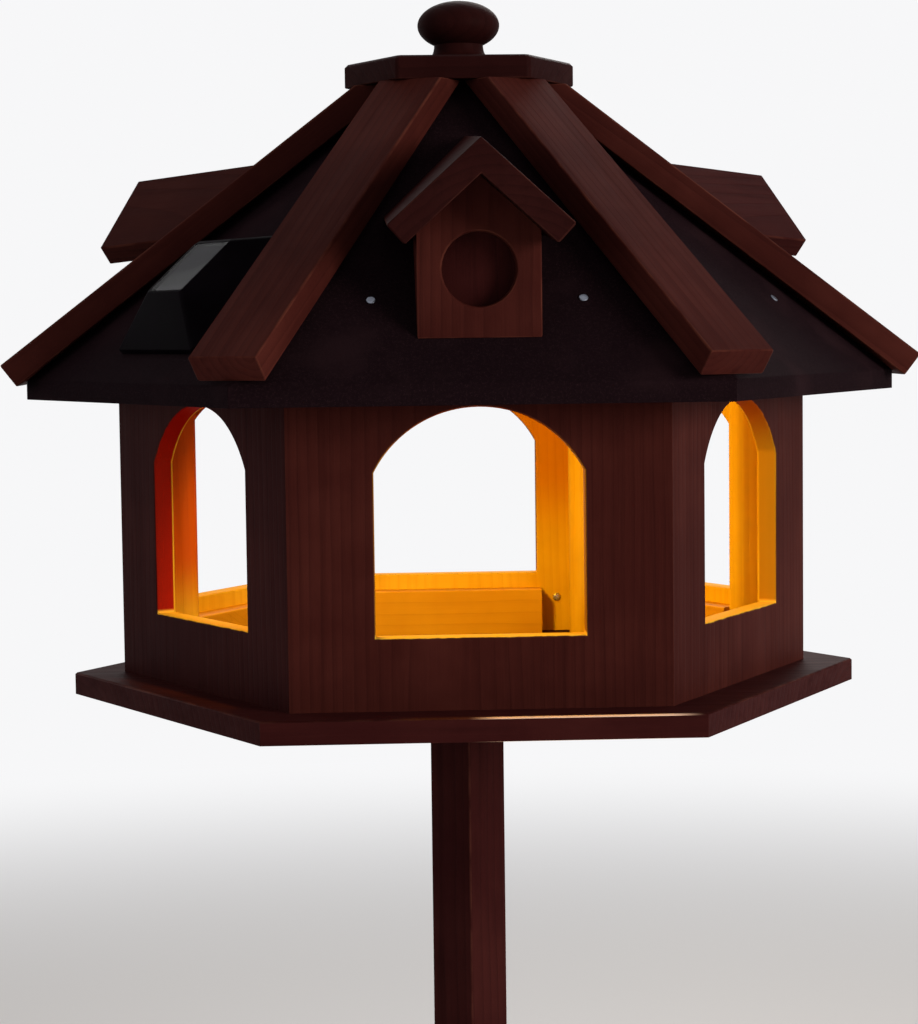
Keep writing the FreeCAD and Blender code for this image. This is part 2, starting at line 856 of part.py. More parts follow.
def make_pieces():
    """Every piece in its place, under the name that it goes by."""
    pieces = {"post": make_post(), "foot_lower": make_foot(False), "foot_upper": make_foot(True)}
    for place, azimuth in post_azimuth.items():
        pieces["brace_" + place] = turned(make_brace(), azimuth)
    pieces["post_brackets"] = Part.makeCompound(all_around([make_bracket()]))
    back_screws = [turned(screw, face_azimuth["back"]) for screw in wall_screws()]
    pieces["short_screws"] = Part.makeCompound(
        all_around([bracket_screw_across(), bracket_screw_up()]) + back_screws)
    pieces["floor_board"] = make_floor()
    pieces["wood_screws"] = Part.makeCompound(floor_screws() + all_around(brace_screws()))
    pieces["corner_posts"] = Part.makeCompound(
        [turned(make_corner_post(), azimuth) for azimuth in hip_azimuth.values()])
    pieces["floor_cleats"] = Part.makeCompound(
        [turned(make_cleat(), azimuth) for azimuth in face_azimuth.values()])
    nails = []
    for side, azimuth in face_azimuth.items():
        own_nails = side_nails(side)
        layers = {"wall_": make_wall(), "roof_board_": make_roof_board(),
                  "roof_felt_": make_roof_felt()}
        for kind, layer in layers.items():
            piece = turned(layer.cut(Part.makeCompound(own_nails)), azimuth)
            if side == lamp_side and kind != "wall_":
                piece = piece.cut(on_roof(neck_hole()))
            pieces[kind + side] = piece
        nails += [turned(nail, azimuth) for nail in own_nails]
    pieces["wall_back"] = pieces["wall_back"].cut(Part.makeCompound(back_screws))
    pieces["clout_nails"] = Part.makeCompound(nails)
    for place, azimuth in hip_azimuth.items():
        at_side = place in ("left", "right")
        projection = side_batten_projection if at_side else other_batten_projection
        pieces["hip_batten_" + place] = turned(make_batten(projection), azimuth)
    pieces["cap_plate"] = make_cap()
    pieces["finial"] = make_finial()
    dormer = {"gable": make_gable(), "cheeks": make_cheeks(), "roof": make_dormer_roof()}
    for side in dormer_sides:
        for kind, shape in dormer.items():
            pieces["dormer_" + side + "_" + kind] = turned(shape, face_azimuth[side])
    pieces["dormer_backings"] = Part.makeCompound(
        [turned(make_backing(), face_azimuth[side]) for side in dormer_sides])
    lamp = {"lamp_cover": make_lamp_cover(), "lamp_base": make_lamp_base(),
            "lamp_battery": make_battery(), "lamp_glass": make_glass(), "solar_cell": make_cell(),
            "lamp_cup": make_cup(), "circuit_board": make_circuit(),
            "lamp_lens": make_lens(), "lamp_button": make_button()}
    for name, shape in lamp.items():
        pieces[name] = on_roof(shape)
    return pieces


os.makedirs("parts", exist_ok=True)
for name, shape in make_pieces().items():
    shape.exportStep(os.path.join("parts", name + ".step"))
    print(name, len(shape.Solids), "solids", round(shape.Volume / 1000, 1), "cm3", shape.isValid())
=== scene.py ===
import bpy
import math
from mathutils import Matrix, Vector


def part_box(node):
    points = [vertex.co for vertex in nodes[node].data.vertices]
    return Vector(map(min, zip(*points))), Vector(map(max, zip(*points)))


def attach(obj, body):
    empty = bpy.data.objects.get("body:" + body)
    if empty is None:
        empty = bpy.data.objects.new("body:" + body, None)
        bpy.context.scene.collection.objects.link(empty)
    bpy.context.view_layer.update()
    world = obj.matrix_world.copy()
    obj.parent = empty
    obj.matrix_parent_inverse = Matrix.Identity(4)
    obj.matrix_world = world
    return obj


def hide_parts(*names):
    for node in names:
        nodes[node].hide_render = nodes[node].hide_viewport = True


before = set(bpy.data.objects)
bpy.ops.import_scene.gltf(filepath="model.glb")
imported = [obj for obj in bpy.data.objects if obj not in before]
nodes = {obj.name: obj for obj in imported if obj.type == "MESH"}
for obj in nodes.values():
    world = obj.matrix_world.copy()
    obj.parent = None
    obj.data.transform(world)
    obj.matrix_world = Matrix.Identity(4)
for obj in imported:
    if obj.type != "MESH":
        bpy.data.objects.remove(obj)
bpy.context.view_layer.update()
scene = bpy.context.scene

# sides of the house and hips of the roof, in degrees about the middle, as the CAD turns them
faceAzimuth = {"front": -90, "front_right": -30, "back_right": 30, "back": 90, "back_left": 150,
               "front_left": 210}
hipAzimuth = {"right": 0, "back_right": 60, "back_left": 120, "left": 180, "front_left": 240,
              "front_right": 300}
postAzimuth = {"front_right": -45, "back_right": 45, "back_left": 135, "front_left": 225}
roofPitch = math.radians(41.5)
hipPitch = math.atan(math.tan(roofPitch) * math.cos(math.radians(30)))


def onSide(azimuth, x, y, z):        # a direction or place drawn along +X, turned to its side
    return Matrix.Rotation(math.radians(azimuth), 3, "Z") @ Vector((x, y, z))


# out of the roof at the lamp
lampFacing = onSide(faceAzimuth["front_left"], math.sin(roofPitch), 0, math.cos(roofPitch))


# camera

photoCamera = {"place": (-0.1015, -2.1742, 1.2966), "yaw": 2.55, "pitch": -4.23, "roll": -0.72,
               "lens": 87.28}


def makeCamera(look):
    yaw, pitch, roll = (math.radians(look[k]) for k in ("yaw", "pitch", "roll"))
    ahead = Vector((math.sin(yaw) * math.cos(pitch), math.cos(yaw) * math.cos(pitch), math.sin(pitch)))
    level = Vector((math.cos(yaw), -math.sin(yaw), 0))
    upright = level.cross(ahead)
    right = level * math.cos(roll) + upright * math.sin(roll)
    up = upright * math.cos(roll) - level * math.sin(roll)
    data = bpy.data.cameras.new("photoCamera")
    data.lens = look["lens"]
    data.sensor_width = 36
    data.clip_start = 0.05
    camera = bpy.data.objects.new("photoCamera", data)
    turn = Matrix((right, up, -ahead)).transposed().to_4x4()
    camera.matrix_world = Matrix.Translation(look["place"]) @ turn
    scene.collection.objects.link(camera)
    scene.camera = camera


makeCamera(photoCamera)
print("camera placed")

# stage and light

stageLook = {"floorColor": (0.82, 0.81, 0.80, 1), "floorReach": 9.0, "fadeFrom": 2.4, "fadeTo": 5.2,
             "skyColor": (0.93, 0.93, 0.94, 1), "skyLight": (0.86, 0.85, 0.87, 1), "skyStrength": 0.37}
studioLamps = {
    "keyLamp": {"place": (2.9, -2.6, 1.9), "aim": (0, 0, 1.15), "size": 1.6, "watts": 110,
                "color": (1.0, 0.93, 0.85)},
    "fillLamp": {"place": (-2.8, -2.4, 1.9), "aim": (0, 0, 1.2), "size": 2.2, "watts": 8,
                 "color": (0.92, 0.95, 1.0)},
    "rimLamp": {"place": (0.6, 2.8, 3.0), "aim": (0, 0, 1.3), "size": 1.8, "watts": 46,
                "color": (1.0, 0.96, 0.92)},
}


def directRay(tree):                 # 1 for what the camera sees, also in gloss and through glass
    rays = tree.nodes.new("ShaderNodeLightPath")
    total = rays.outputs["Is Camera Ray"]
    for other in ("Is Glossy Ray", "Is Transmission Ray"):
        both = tree.nodes.new("ShaderNodeMath")
        both.operation = "MAXIMUM"
        tree.links.new(total, both.inputs[0])
        tree.links.new(rays.outputs[other], both.inputs[1])
        total = both.outputs[0]
    return total


def makeFloor(look):                 # pale paint that turns into the background's white far from the object
    bpy.ops.object.select_all(action="DESELECT")
    bpy.ops.mesh.primitive_circle_add(vertices=96, radius=look["floorReach"], fill_type="NGON",
                                      location=(0, 0, 0))
    floor = bpy.context.object
    floor.name = "studioFloor"
    paint = bpy.data.materials.new("studioFloor")
    paint.use_nodes = True
    tree = paint.node_tree
    shader = tree.nodes["Principled BSDF"]
    shader.inputs["Base Color"].default_value = look["floorColor"]
    shader.inputs["Roughness"].default_value = 0.85
    shader.inputs["Specular IOR Level"].default_value = 0.2
    spot = tree.nodes.new("ShaderNodeTexCoord")
    reach = tree.nodes.new("ShaderNodeVectorMath")
    reach.operation = "LENGTH"
    tree.links.new(spot.outputs["Object"], reach.inputs[0])
    fade = tree.nodes.new("ShaderNodeMapRange")
    fade.interpolation_type = "SMOOTHSTEP"
    fade.inputs[1].default_value = look["fadeFrom"]
    fade.inputs[2].default_value = look["fadeTo"]
    tree.links.new(reach.outputs["Value"], fade.inputs[0])
    share = tree.nodes.new("ShaderNodeMath")
    share.operation = "MULTIPLY"
    tree.links.new(fade.outputs[0], share.inputs[0])
    tree.links.new(directRay(tree), share.inputs[1])
    white = tree.nodes.new("ShaderNodeEmission")
    white.inputs["Color"].default_value = look["skyColor"]
    blend = tree.nodes.new("ShaderNodeMixShader")
    tree.links.new(share.outputs[0], blend.inputs[0])
    tree.links.new(shader.outputs[0], blend.inputs[1])
    tree.links.new(white.outputs[0], blend.inputs[2])
    tree.links.new(blend.outputs[0], tree.nodes["Material Output"].inputs["Surface"])
    floor.data.materials.append(paint)


def makeSky(look):
    world = bpy.data.worlds.new("studioSky")
    scene.world = world
    world.use_nodes = True
    tree = world.node_tree
    lit = tree.nodes["Background"]
    lit.inputs["Color"].default_value = look["skyLight"]
    lit.inputs["Strength"].default_value = look["skyStrength"]
    seen = tree.nodes.new("ShaderNodeBackground")
    seen.inputs["Color"].default_value = look["skyColor"]
    seen.inputs["Strength"].default_value = 1.0
    choice = tree.nodes.new("ShaderNodeMixShader")
    tree.links.new(directRay(tree), choice.inputs[0])
    tree.links.new(lit.outputs[0], choice.inputs[1])
    tree.links.new(seen.outputs[0], choice.inputs[2])
    tree.links.new(choice.outputs[0], tree.nodes["World Output"].inputs["Surface"])


def makeLamps(lamps):
    for name, look in lamps.items():
        data = bpy.data.lights.new(name, "AREA")
        data.shape = "DISK"
        data.size = look["size"]
        data.energy = look["watts"]
        data.color = look["color"]
        lamp = bpy.data.objects.new(name, data)
        place = Vector(look["place"])
        lamp.location = place
        lamp.rotation_euler = (Vector(look["aim"]) - place).to_track_quat("-Z", "Y").to_euler()
        scene.collection.objects.link(lamp)


scene.view_settings.view_transform = "Standard"
makeFloor(stageLook)
makeSky(stageLook)
makeLamps(studioLamps)

# the solar lamp's own warm light, under its lens inside the roof

roomGlow = {"below": 0.012, "size": 0.080, "spread": 136, "watts": 2.05, "color": (1.0, 0.56, 0.012)}


def makeRoomGlow(look):
    low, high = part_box("lamp_lens")
    data = bpy.data.lights.new("roomGlow", "AREA")
    data.shape = "DISK"
    data.size = look["size"]
    data.spread = math.radians(look["spread"])
    data.energy = look["watts"]
    data.color = look["color"]
    glow = bpy.data.objects.new("roomGlow", data)
    reach = (high - low).length / 2
    glow.location = (low + high) / 2 - lampFacing * (reach / 2 + look["below"])
    glow.rotation_euler = (-lampFacing).to_track_quat("-Z", "Y").to_euler()
    scene.collection.objects.link(glow)


makeRoomGlow(roomGlow)
print("stage and lamps placed")

# shared effects, each built once as a group and placed in the materials


def newGroup(name, inputs, outputs):
    group = bpy.data.node_groups.new(name, "ShaderNodeTree")
    for label, kind, value in inputs:
        socket = group.interface.new_socket(label, in_out="INPUT", socket_type=kind)
        if value is not None:
            socket.default_value = value
    for label, kind in outputs:
        group.interface.new_socket(label, in_out="OUTPUT", socket_type=kind)
    return group, group.nodes.new("NodeGroupInput"), group.nodes.new("NodeGroupOutput")


def addNode(tree, kind, links=None, **settings):
    node = tree.nodes.new(kind)
    for key, value in settings.items():
        setattr(node, key, value)
    for socket, source in (links or {}).items():
        target = node.inputs[socket]
        if hasattr(source, "is_output"):
            tree.links.new(source, target)
        else:
            target.default_value = source
    return node


def mathNode(tree, operation, *values):
    node = addNode(tree, "ShaderNodeMath", operation=operation)
    for slot, value in enumerate(values):
        if hasattr(value, "is_output"):
            tree.links.new(value, node.inputs[slot])
        else:
            node.inputs[slot].default_value = value
    return node.outputs[0]


def mixColors(tree, factor, first, second, blend="MIX"):
    node = addNode(tree, "ShaderNodeMix", data_type="RGBA", blend_type=blend)
    for slot, value in ((0, factor), (6, first), (7, second)):
        if hasattr(value, "is_output"):
            tree.links.new(value, node.inputs[slot])
        else:
            node.inputs[slot].default_value = value
    return node.outputs[2]


def rangeNode(tree, value, low, high, start=0.0, end=1.0):
    node = addNode(tree, "ShaderNodeMapRange", interpolation_type="SMOOTHSTEP")
    tree.links.new(value, node.inputs[0])
    for slot, number in enumerate((low, high, start, end), 1):
        node.inputs[slot].default_value = number
    return node.outputs[0]


def makeGrainGroup():
    # X runs along the board, Z through its thickness; rings bend round a heart that lies off the board
    group, start, end = newGroup("boardGrain", [
        ("Vector", "NodeSocketVector", None), ("Ring Width", "NodeSocketFloat", 0.006),
        ("Wander", "NodeSocketFloat", 0.5), ("Heart", "NodeSocketFloat", 0.05),
        ("Seed", "NodeSocketFloat", 0.0)],
        [("Rings", "NodeSocketFloat"), ("Fibres", "NodeSocketFloat"), ("Streaks", "NodeSocketFloat"),
         ("Patches", "NodeSocketFloat")])
    tree = group
    spot = start.outputs["Vector"]
    seed = start.outputs["Seed"]
    slow = addNode(tree, "ShaderNodeVectorMath", {0: spot, 1: (0.9, 6.0, 6.0)}, operation="MULTIPLY")
    sway = addNode(tree, "ShaderNodeTexNoise", {"Vector": slow.outputs[0], "W": seed, "Scale": 1.6,
                                                "Detail": 3.0},
                   noise_dimensions="4D")
    split = addNode(tree, "ShaderNodeSeparateXYZ", {0: spot})
    across = mathNode(tree, "ADD", split.outputs[1],
                      mathNode(tree, "MULTIPLY", mathNode(tree, "SINE", seed), 0.03))
    depth = mathNode(tree, "ADD", split.outputs[2], start.outputs["Heart"])
    radius = mathNode(tree, "SQRT", mathNode(tree, "ADD", mathNode(tree, "MULTIPLY", across, across),
                                             mathNode(tree, "MULTIPLY", depth, depth)))
    lean = mathNode(tree, "MULTIPLY", split.outputs[0], 0.012)
    swayed = mathNode(tree, "MULTIPLY", mathNode(tree, "SUBTRACT", sway.outputs[0], 0.5),
                      mathNode(tree, "MULTIPLY", start.outputs["Wander"], 0.05))
    count = mathNode(tree, "DIVIDE", mathNode(tree, "ADD", mathNode(tree, "ADD", radius, lean), swayed),
                     start.outputs["Ring Width"])
    saw = mathNode(tree, "FRACT", count)
    late = mathNode(tree, "POWER", saw, 2.6)      # pale early wood grows into a thin dark line
    fall = rangeNode(tree, saw, 0.93, 1.0, 1.0, 0.0)
    tree.links.new(mathNode(tree, "MULTIPLY", late, fall), end.inputs["Rings"])
    fine = addNode(tree, "ShaderNodeVectorMath", {0: spot, 1: (18.0, 900.0, 900.0)}, operation="MULTIPLY")
    fibre = addNode(tree, "ShaderNodeTexNoise", {"Vector": fine.outputs[0], "W": seed, "Scale": 1.0,
                                                 "Detail": 4.0},
                    noise_dimensions="4D")
    tree.links.new(fibre.outputs[0], end.inputs["Fibres"])
    long = addNode(tree, "ShaderNodeVectorMath", {0: spot, 1: (5.0, 120.0, 120.0)}, operation="MULTIPLY")
    streak = addNode(tree, "ShaderNodeTexNoise", {"Vector": long.outputs[0], "W": seed, "Scale": 1.0,
                                                  "Detail": 5.0},
                     noise_dimensions="4D")
    tree.links.new(streak.outputs[0], end.inputs["Streaks"])
    patch = addNode(tree, "ShaderNodeTexNoise", {"Vector": spot, "W": seed, "Scale": 9.0, "Detail": 4.0,
                                                 "Roughness": 0.6}, noise_dimensions="4D")
    tree.links.new(patch.outputs[0], end.inputs["Patches"])
    return group


def makeWearGroup():
    # 1 on the eased arrises of a piece, broken up so that the wear comes and goes
    group, start, end = newGroup("arrisWear", [
        ("Vector", "NodeSocketVector", None), ("Arris", "NodeSocketFloat", 0.0),
        ("Seed", "NodeSocketFloat", 0.0)],
        [("Wear", "NodeSocketFloat")])
    broken = addNode(group, "ShaderNodeTexNoise", {"Vector": start.outputs["Vector"],
                                                   "W": start.outputs["Seed"],
                                                   "Scale": 38.0, "Detail": 5.0}, noise_dimensions="4D")
    kept = rangeNode(group, broken.outputs[0], 0.36, 0.66)
    group.links.new(mathNode(group, "MULTIPLY", start.outputs["Arris"], kept), end.inputs["Wear"])
    return group


grainGroup = makeGrainGroup()
wearGroup = makeWearGroup()


def newMaterial(name, roughness, specular=0.5, metallic=0.0):
    material = bpy.data.materials.new(name)
    material.use_nodes = True
    tree = material.node_tree
    shader = tree.nodes["Principled BSDF"]
    shader.inputs["Roughness"].default_value = roughness
    shader.inputs["Specular IOR Level"].default_value = specular
    shader.inputs["Metallic"].default_value = metallic
    return material, tree, shader


def placedPattern(tree, turn=(0, 0, 0), shift=(0, 0, 0)):
    spot = addNode(tree, "ShaderNodeTexCoord")
    mapping = addNode(tree, "ShaderNodeMapping", {"Vector": spot.outputs["Object"], "Rotation": tuple(turn),
                                                  "Location": tuple(shift)})
    return mapping.outputs[0]


def boardTurn(along, outward):       # the turn that lays a pattern's X along the board and its Z outward
    x = Vector(along).normalized()
    z = Vector(outward)
    z = (z - x * z.dot(x)).normalized()
    return Matrix((x, z.cross(x), z)).to_euler()


stainedWood = {"color": (0.040, 0.0080, 0.0062, 1), "pale": (0.060, 0.0135, 0.0100, 1),
               "dark": (0.021, 0.0042, 0.0036, 1), "rubbed": (0.105, 0.030, 0.019, 1), "rub": 0.55,
               "roughness": 0.55, "specular": 0.012, "ringWidth": 0.0075, "ringDepth": 0.42,
               "streakDepth": 0.40, "fibreDepth": 0.28}
# bare pine, its colour painted amber with the solar lamp's light
amberLitBareWood = {"color": (0.62, 0.355, 0.016, 1), "pale": (0.70, 0.430, 0.026, 1),
            "dark": (0.50, 0.250, 0.010, 1), "rubbed": (0.72, 0.46, 0.05, 1), "rub": 0.30,
            "roughness": 0.60, "specular": 0.05, "ringWidth": 0.0060, "ringDepth": 0.26,
            "streakDepth": 0.30, "fibreDepth": 0.25}
# painted lamp light and shade on the window jambs: brighter, darker or redder by the side each window faces
jambColor = {"front": (0.31, 0.135, 0.010, 1), "front_right": (0.48, 0.215, 0.008, 1),
             "front_left": (0.30, 0.011, 0.003, 1)}
# painted amber lamp light on the sills, which face up into the lamp's light
sillColor = (0.80, 0.47, 0.045, 1)
# painted shade on the jambs above the arch's springing, where less of the lamp's light reaches
archPaintedShade = (1.0, 0.34, 0.25, 1)
noTint = (1, 1, 1, 1)
# painted shade high up on the inner faces, where the lamp's light falls off, darker than the bare wood by
# these shares
paintedShadeColor = {"back_left": (0.72, 0.26, 0.20, 1), "front_right": (0.94, 0.80, 0.50, 1),
             "back": (0.76, 0.48, 0.15, 1)}
# how far the edges of the stain wander, and over what distance the stain, the painted sill and arch colours
# and the painted shade fade, in metres
stainEdge = {"ragged": 0.0016, "faceFrom": 0.0012, "faceTo": 0.0004, "bare": 0.0008, "sill": 0.003,
             "arch": 0.05, "paintedShadeFrom": 0.02, "paintedShadeTo": 0.10, "eave": 0.002}
# painted shade: a darker copy of the stained wood, for the cap, the finial and the front dormer's roof
paintedShadeDarkWood = dict(stainedWood, color=(0.016, 0.0034, 0.0032, 1), pale=(0.024, 0.0056, 0.0050, 1),
                dark=(0.009, 0.0022, 0.0021, 1), rubbed=(0.060, 0.018, 0.013, 1))
# painted shade: a darker copy of the amber-lit bare wood, for the floor cleats
paintedShadeCleatWood = dict(amberLitBareWood, color=(0.50, 0.235, 0.007, 1), pale=(0.58, 0.290, 0.011, 1),
                 dark=(0.39, 0.160, 0.005, 1))
# painted shade: a darker copy of the stained wood, for the front-left wall, the floor board, the post, the
# dormer backings, the back-right dormer's roof and the eaves' undersides
paintedShadeWood = dict(stainedWood, color=(0.030, 0.0056, 0.0054, 1), pale=(0.045, 0.0096, 0.0084, 1),
                 dark=(0.016, 0.0034, 0.0032, 1), rubbed=(0.080, 0.023, 0.016, 1))


def woodColor(tree, grain, look):
    color = mixColors(tree, rangeNode(tree, grain.outputs["Patches"], 0.35, 0.70), look["color"],
                      look["pale"])
    ring = mathNode(tree, "MULTIPLY", grain.outputs["Rings"], look["ringDepth"])
    color = mixColors(tree, ring, color, look["dark"])
    streak = mathNode(tree, "MULTIPLY", rangeNode(tree, grain.outputs["Streaks"], 0.48, 0.74),
                      look["streakDepth"])
    color = mixColors(tree, streak, color, look["dark"])
    fibre = mathNode(tree, "MULTIPLY", rangeNode(tree, grain.outputs["Fibres"], 0.45, 0.75),
                     look["fibreDepth"])
    return mixColors(tree, fibre, color, look["pale"])


def makeWood(name, look, along, outward, seed, heart=0.05, window=None, glint=None, paintedShade=None, eave=None,
             wander=0.5):
    material, tree, shader = newMaterial(name, look["roughness"], look["specular"])
    spot = placedPattern(tree, boardTurn(along, outward))
    grain = addNode(tree, "ShaderNodeGroup", node_tree=grainGroup)
    tree.links.new(spot, grain.inputs["Vector"])
    grain.inputs["Ring Width"].default_value = look["ringWidth"]
    grain.inputs["Seed"].default_value = seed
    grain.inputs["Heart"].default_value = heart
    grain.inputs["Wander"].default_value = wander
    wear = addNode(tree, "ShaderNodeGroup", node_tree=wearGroup)
    tree.links.new(spot, wear.inputs["Vector"])
    arris = addNode(tree, "ShaderNodeAttribute", attribute_name="arris")
    tree.links.new(arris.outputs["Fac"], wear.inputs["Arris"])
    wear.inputs["Seed"].default_value = seed
    color = woodColor(tree, grain, look)
    color = mixColors(tree, mathNode(tree, "MULTIPLY", wear.outputs["Wear"], look["rub"]), color,
                      look["rubbed"])
    if window is not None:           # stain ran thin into the window, and the inside was never stained; the jambs, sill, arch and upper inner face also get painted lamp light and shade
        inside = addNode(tree, "ShaderNodeSeparateXYZ", {0: spot})
        ragged = mathNode(
            tree, "ADD", inside.outputs[2],
            mathNode(tree, "MULTIPLY", mathNode(tree, "SUBTRACT", grain.outputs["Streaks"], 0.5),
                     stainEdge["ragged"]))
        bare = woodColor(tree, grain, amberLitBareWood)
        # painted shade: the bare inner face darkens above the sill
        high = rangeNode(tree, inside.outputs[0], window["sill"] + stainEdge["paintedShadeFrom"],
                         window["sill"] + stainEdge["paintedShadeTo"])
        bare = mixColors(tree, high, bare, window["paintedShade"], "MULTIPLY")
        jamb = mixColors(tree, mathNode(tree, "MULTIPLY", grain.outputs["Streaks"], 0.4), window["jamb"],
                         window["deep"])
        # painted shade: the jamb darkens and reddens above the arch's springing
        arch = rangeNode(tree, inside.outputs[0], window["arch"], window["arch"] + stainEdge["arch"])
        jamb = mixColors(tree, arch, jamb, archPaintedShade, "MULTIPLY")
        # painted lamp light: the sill takes the bright sill colour
        sill = rangeNode(tree, inside.outputs[0], window["sill"], window["sill"] + stainEdge["sill"])
        jamb = mixColors(tree, sill, sillColor, jamb)
        color = mixColors(tree, rangeNode(tree, ragged, window["face"] - stainEdge["faceFrom"],
                                          window["face"] - stainEdge["faceTo"]), jamb, color)
        color = mixColors(tree, rangeNode(tree, ragged, window["bare"],
                                          window["bare"] + stainEdge["bare"]), bare, color)
    if eave is not None:             # stained only where the board stands out past the walls, there in the darker painted-shade copy of the stain
        place = addNode(tree, "ShaderNodeTexCoord").outputs["Object"]
        out = addNode(tree, "ShaderNodeVectorMath", {0: place, 1: eave["outward"]}, operation="DOT_PRODUCT")
        past = rangeNode(tree, out.outputs["Value"], eave["from"], eave["from"] + stainEdge["eave"])
        color = mixColors(tree, past, color, woodColor(tree, grain, paintedShadeWood))
    if paintedShade is not None:             # painted shade round one corner of the house, redder and darker
        middle = addNode(tree, "ShaderNodeVectorMath", {0: spot, 1: paintedShade["middle"]}, operation="DISTANCE")
        near = rangeNode(tree, middle.outputs["Value"], paintedShade["reach"] - paintedShade["fade"], paintedShade["reach"],
                         1.0, 0.0)
        color = mixColors(tree, near, color, paintedShade["color"], "MULTIPLY")
    if glint is not None:            # painted light: a bright stretch of the front top arris, lit through the front window
        middle = addNode(tree, "ShaderNodeVectorMath", {0: spot, 1: glint["middle"]}, operation="DISTANCE")
        near = rangeNode(tree, middle.outputs["Value"], glint["reach"] - glint["fade"], glint["reach"],
                         1.0, 0.0)
        color = mixColors(tree, mathNode(tree, "MULTIPLY", near, arris.outputs["Fac"]), color,
                          glint["color"])
    tree.links.new(color, shader.inputs["Base Color"])
    rough = mathNode(tree, "ADD", mathNode(tree, "MULTIPLY", grain.outputs["Streaks"], 0.22),
                     look["roughness"] - 0.11)
    tree.links.new(rough, shader.inputs["Roughness"])
    height = mathNode(tree, "ADD", mathNode(tree, "MULTIPLY", grain.outputs["Rings"], -0.5),
                      mathNode(tree, "MULTIPLY", grain.outputs["Fibres"], 0.6))
    bump = addNode(tree, "ShaderNodeBump", {"Height": height, "Strength": 0.35, "Distance": 0.0006})
    tree.links.new(bump.outputs[0], shader.inputs["Normal"])
    return material


def dress(name, material):
    mesh = nodes[name].data
    mesh.materials.clear()
    mesh.materials.append(material)


# a CAD piece's shape with eased arrises, in the piece's place

arrisLook = {"wood": 0.0011, "lamp": 0.0008, "glass": 0.0003, "felt": 0.0006, "segments": 2,
             "sharperThan": math.radians(50), "narrow": 0.0024}


def cleanCopy(name, newName):        # one skin with whole faces
    bpy.ops.object.select_all(action="DESELECT")
    piece = bpy.data.objects.new(newName, nodes[name].data.copy())
    scene.collection.objects.link(piece)
    bpy.context.view_layer.objects.active = piece
    piece.select_set(True)
    bpy.ops.object.mode_set(mode="EDIT")
    bpy.ops.mesh.select_all(action="SELECT")
    bpy.ops.mesh.remove_doubles(threshold=0.00001)
    bpy.ops.mesh.select_all(action="DESELECT")
    bpy.ops.mesh.select_interior_faces()
    bpy.ops.mesh.delete(type="FACE")
    bpy.ops.mesh.select_all(action="SELECT")
    bpy.ops.mesh.dissolve_limited(angle_limit=math.radians(0.6))
    bpy.ops.object.mode_set(mode="OBJECT")
    return piece


def markArrises(mesh, narrow):       # narrow faces are chamfers and rounds
    mark = mesh.attributes.new("arris", "FLOAT", "FACE")
    for face in mesh.polygons:
        corners = [mesh.vertices[i].co for i in face.vertices]
        edge = sum((corners[i] - corners[i - 1]).length for i in range(len(corners)))
        mark.data[face.index].value = 1.0 if 2 * face.area / edge < narrow else 0.0


def roundOut(piece, point, facing):  # doubles the sides of what is round about an axis
    mesh = piece.data

    def reach(corner):
        height = (corner - point).dot(facing)
        return height, (corner - point - facing * height).length

    bpy.ops.object.mode_set(mode="EDIT")
    bpy.ops.mesh.select_all(action="DESELECT")
    bpy.ops.object.mode_set(mode="OBJECT")
    for edge in mesh.edges:
        ends = [mesh.vertices[i].co for i in edge.vertices]
        (low, near), (high, far) = reach(ends[0]), reach(ends[1])
        chord = (ends[0] - ends[1]).length
        edge.select = abs(low - high) < 0.00002 and abs(near - far) < 0.00002 and 0.0005 < chord < 0.42 * near
    count = len(mesh.vertices)
    bpy.ops.object.mode_set(mode="EDIT")
    bpy.ops.mesh.select_mode(type="EDGE")
    bpy.ops.mesh.subdivide(number_cuts=1)
    bpy.ops.object.mode_set(mode="OBJECT")
    wanted = {}
    for edge in mesh.edges:
        for this, other in (edge.vertices, reversed(edge.vertices)):
            height, radius = reach(mesh.vertices[other].co)
            if this >= count > other and abs(height - reach(mesh.vertices[this].co)[0]) < 0.00003:
                wanted[this] = max(radius, wanted.get(this, 0))
    for i, radius in wanted.items():
        height, now = reach(mesh.vertices[i].co)
        centre = point + facing * height
        mesh.vertices[i].co = centre + (mesh.vertices[i].co - centre) * (radius / now)


def lampAxis(name):                  # through the middle of the piece's outermost face, square to the roof
    corners = [corner.co for corner in nodes[name].data.vertices]
    low = min(corner.dot(lampFacing) for corner in corners)
    face = [corner for corner in corners if corner.dot(lampFacing) < low + 0.0001]
    spots = {tuple(round(value, 5) for value in corner): corner for corner in face}
    return sum(spots.values(), Vector()) / len(spots), lampFacing


def easedPiece(name, width, material, body="table", roundAbout=()):
    piece = cleanCopy(name, name + "_eased")
    for other in roundAbout:
        roundOut(piece, *lampAxis(other))
    easing = piece.modifiers.new("easedArrises", "BEVEL")
    easing.width = width
    easing.segments = arrisLook["segments"]
    easing.limit_method = "ANGLE"
    easing.angle_limit = arrisLook["sharperThan"]
    bpy.ops.object.modifier_apply(modifier="easedArrises")
    markArrises(piece.data, arrisLook["narrow"])
    bpy.ops.object.shade_smooth()
    piece.modifiers.new("flatFaces", "WEIGHTED_NORMAL")
    bpy.ops.object.modifier_apply(modifier="flatFaces")
    piece.data.materials.clear()
    piece.data.materials.append(material)
    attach(piece, body)
    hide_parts(name)
    return piece


def easeWood(name, material):
    return easedPiece(name, arrisLook["wood"], material)


upright = (0, 0, 1)
wallDepth = {"inside": 0.2418, "outside": 0.2598, "sill": 1.0580, "arch": 1.1860}
# painted shade on the corner posts round the left corner, where the lamp's light falls off
paintedShadeLeftPost = {"middle": (1.26, 0, -0.25), "reach": 0.225, "fade": 0.07, "color": (0.74, 0.23, 0.22, 1)}
# painted light: a bright stretch of the floor's front top arris, where the lamp's light falls out through the
# front window
floorGlint = {"middle": (0.078, -0.298, 1.0), "reach": 0.092, "fade": 0.03, "color": (0.95, 0.62, 0.42, 1)}


